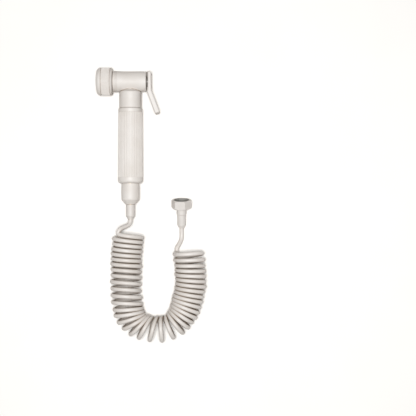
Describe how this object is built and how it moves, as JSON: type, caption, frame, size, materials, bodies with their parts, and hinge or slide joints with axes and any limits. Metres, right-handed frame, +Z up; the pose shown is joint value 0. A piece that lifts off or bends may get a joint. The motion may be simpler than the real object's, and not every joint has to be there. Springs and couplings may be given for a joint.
{
  "type": "handheld bath sprayer",
  "caption": "T-shaped spray handset with a knurled face ring, a sprung thumb lever and a ribbed grip, on a coiled hose that ends in a threaded hexagon nut.",
  "frame": {"origin": "on the surface that the sprayer lies on, under the middle of the handset's bounding box", "axes": "+Y along the handle towards the head, -X the way the water leaves, +Z up from the surface"},
  "size_m": [0.1496, 0.3768, 0.0428],
  "materials": {
    "body_plastic": "satin moulded ABS, warm off-white",
    "cap_plastic": "matte moulded acetal, grey-brown",
    "grip_plastic": "satin moulded ABS, warm off-white",
    "coated_metal": "satin coated brass, warm off-white",
    "spray_plastic": "matte off-white",
    "hose": "satin, warm off-white",
    "brass": "machined",
    "steel": "bright drawn wire and sheet",
    "rubber": "matte black"
  },
  "bodies": {
    "handset": {"head_body": "body_plastic", "valve_seat": "rubber", "spring_retainer": "brass", "retainer_clip": "steel", "valve_spring": "steel", "spray_gasket": "rubber", "rear_cap": "cap_plastic", "stem_seal": "rubber", "handle_pipe": "brass", "pipe_seal": "rubber", "grip_sleeve": "grip_plastic", "handset_washer": "rubber", "handset_insert": "brass", "handset_ferrule": "coated_metal", "hose_tail_handset": "hose", "hose_coil": "hose", "hose_tail_inlet": "hose", "inlet_ferrule": "coated_metal", "inlet_collar": "coated_metal", "inlet_insert": "brass", "inlet_filter": "steel", "inlet_washer": "rubber"},
    "face": {"face_ring": "body_plastic", "spray_plate": "spray_plastic"},
    "lever": {"lever": "body_plastic", "lever_pin": "coated_metal"},
    "valve": {"valve_stem": "steel", "valve_seal": "rubber"},
    "hose_nut": {"hose_nut": "body_plastic"},
    "inlet_nut": {"inlet_nut": "coated_metal"}
  },
  "joints": [
    {"name": "lever_press", "type": "hinge", "parent": "handset", "child": "lever", "pos_m": [0.0291, 0.09433, 0.01885], "axis": [0, 0, -1], "range_deg": [0, 5], "stiffness_Nm_per_rad": 0.258, "springref_deg": -16.39},
    {"name": "valve_lift", "type": "slide", "parent": "handset", "child": "valve", "axis": [-1, 0, 0], "range_m": [0, 0.00092], "deforming": ["valve_spring"]},
    {"name": "face_turn", "type": "hinge", "parent": "handset", "child": "face", "pos_m": [-0.0323, 0.08382, 0.01885], "axis": [-1, 0, 0], "continuous": true},
    {"name": "hose_nut_turn", "type": "hinge", "parent": "handset", "child": "hose_nut", "pos_m": [0.0027, -0.07118, 0.01885], "axis": [0, -1, 0], "continuous": true},
    {"name": "inlet_nut_turn", "type": "hinge", "parent": "handset", "child": "inlet_nut", "pos_m": [0.072, -0.08711, 0.01281], "axis": [0, 0.9703, 0.2419], "continuous": true}
  ],
  "couplings": [
    {"joint": "valve_lift", "follows": "lever_press", "m_per_rad": 0.0105}
  ]
}
